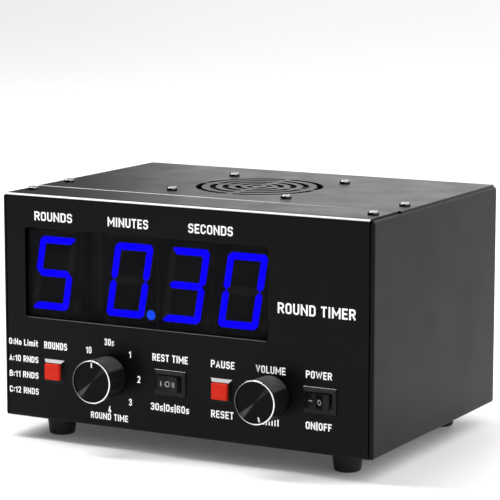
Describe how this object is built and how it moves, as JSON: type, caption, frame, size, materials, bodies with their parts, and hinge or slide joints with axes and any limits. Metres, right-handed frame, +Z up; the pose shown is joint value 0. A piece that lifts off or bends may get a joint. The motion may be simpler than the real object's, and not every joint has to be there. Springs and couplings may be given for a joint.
{
  "type": "gym round timer",
  "caption": "Sheet-steel bench timer for boxing rounds, with a glowing digit display, dials, rockers, push buttons and a loudspeaker under a slotted lid grille.",
  "frame": {"origin": "at foot level, under the middle of the bounding box", "axes": "+Z up, the front panel faces -Y, +X to the right as the user sees it"},
  "size_m": [0.248, 0.198, 0.1519],
  "materials": {
    "case_paint": "fine-textured satin black powder coat on sheet steel",
    "screw_zinc": "bright zinc plated",
    "foot_rubber": "matte black moulded rubber",
    "smoked_lens": "smoked acrylic, polished",
    "digit_body": "matte black display face",
    "led_on": "glowing diffused light bar",
    "led_off": "unlit smoky light bar",
    "led_point": "glowing diffused point",
    "circuit_board": "green solder mask on glass-fibre board",
    "post_brass": "nickel-free turned brass",
    "chip_epoxy": "moulded epoxy package",
    "sink_aluminium": "extruded, natural",
    "capacitor_sleeve": "printed shrink sleeve",
    "header_nylon": "natural nylon",
    "basket_steel": "black stamped steel",
    "magnet_ferrite": "sintered ferrite",
    "plate_steel": "zinc plated mild steel",
    "coil_copper": "enamelled copper winding",
    "cone_paper": "black pressed paper",
    "surround_cloth": "doped cloth",
    "spider_cloth": "phenolic-dipped corrugated cloth",
    "bushing_metal": "nickel plated",
    "control_body": "plated control housing",
    "knob_black": "smooth satin black",
    "knob_insert": "spun face with a diamond-cut bright rim",
    "mark_white": "white paint",
    "switch_black": "black nylon",
    "button_red": "moulded red"
  },
  "bodies": {
    "case": {"base_chassis": "case_paint", "front_panel": "case_paint", "rear_panel": "case_paint", "top_cover": "case_paint", "case_screws": "screw_zinc", "foot_front_left": "foot_rubber", "foot_front_right": "foot_rubber", "foot_rear_left": "foot_rubber", "foot_rear_right": "foot_rubber", "foot_screws": "screw_zinc", "hex_nuts": "screw_zinc", "display_window": "smoked_lens", "digit_rounds": "digit_body", "digit_minutes": "digit_body", "digit_tens": "digit_body", "digit_units": "digit_body", "lit_segments": "led_on", "unlit_segments": "led_off", "decimal_point": "led_point", "display_board": "circuit_board", "display_posts": "post_brass", "main_board": "circuit_board", "main_board_posts": "post_brass", "board_screws": "screw_zinc", "board_chips": "chip_epoxy", "voltage_regulator": "chip_epoxy", "heat_sink": "sink_aluminium", "capacitors": "capacitor_sleeve", "board_headers": "header_nylon", "speaker_basket": "basket_steel", "speaker_top_plate": "plate_steel", "speaker_magnet": "magnet_ferrite", "speaker_yoke": "plate_steel", "cone_surround": "surround_cloth", "spider": "spider_cloth", "speaker_screws": "screw_zinc", "selector_switch": "control_body", "time_dial_nut": "bushing_metal", "volume_pot": "control_body", "volume_dial_nut": "bushing_metal", "rest_switch": "switch_black", "power_switch": "switch_black", "button_switches": "switch_black", "power_jack": "switch_black", "jack_nut": "bushing_metal"},
    "time_dial": {"time_shaft": "bushing_metal", "time_knob": "knob_black", "time_knob_insert": "knob_insert", "time_knob_pointer": "mark_white"},
    "volume_dial": {"volume_shaft": "bushing_metal", "volume_knob": "knob_black", "volume_knob_insert": "knob_insert", "volume_knob_pointer": "mark_white"},
    "rest_time_rocker": {"rest_rocker": "switch_black"},
    "power_on_rocker": {"power_rocker": "switch_black"},
    "rounds_push_button": {"rounds_button": "button_red"},
    "pause_push_button": {"pause_button": "button_red"},
    "loudspeaker_cone": {"speaker_cone": "cone_paper", "dust_cap": "cone_paper", "voice_coil": "coil_copper"}
  },
  "joints": [
    {"name": "time_dial_turn", "type": "hinge", "parent": "case", "child": "time_dial", "pos_m": [-0.0492, -0.0786, 0.0444], "axis": [0, 1, 0], "range_deg": [0, 315]},
    {"name": "volume_dial_turn", "type": "hinge", "parent": "case", "child": "volume_dial", "pos_m": [0.0597, -0.0786, 0.0438], "axis": [0, 1, 0], "range_deg": [-300, 0]},
    {"name": "rest_time_rock", "type": "hinge", "parent": "case", "child": "rest_time_rocker", "pos_m": [-0.0072, -0.0786, 0.0444], "axis": [0, 0, 1], "range_deg": [-14, 14]},
    {"name": "power_rock", "type": "hinge", "parent": "case", "child": "power_on_rocker", "pos_m": [0.091, -0.0786, 0.0444], "axis": [0, 0, 1], "range_deg": [0, 36]},
    {"name": "rounds_push", "type": "slide", "parent": "case", "child": "rounds_push_button", "axis": [0, 1, 0], "range_m": [0, 0.0025], "stiffness_N_per_m": 600},
    {"name": "pause_push", "type": "slide", "parent": "case", "child": "pause_push_button", "axis": [0, 1, 0], "range_m": [0, 0.0025], "stiffness_N_per_m": 600},
    {"name": "cone_travel", "type": "slide", "parent": "case", "child": "loudspeaker_cone", "axis": [0, 0, 1], "range_m": [-0.001, 0.001], "stiffness_N_per_m": 900, "deforming": ["cone_surround", "spider"]}
  ]
}
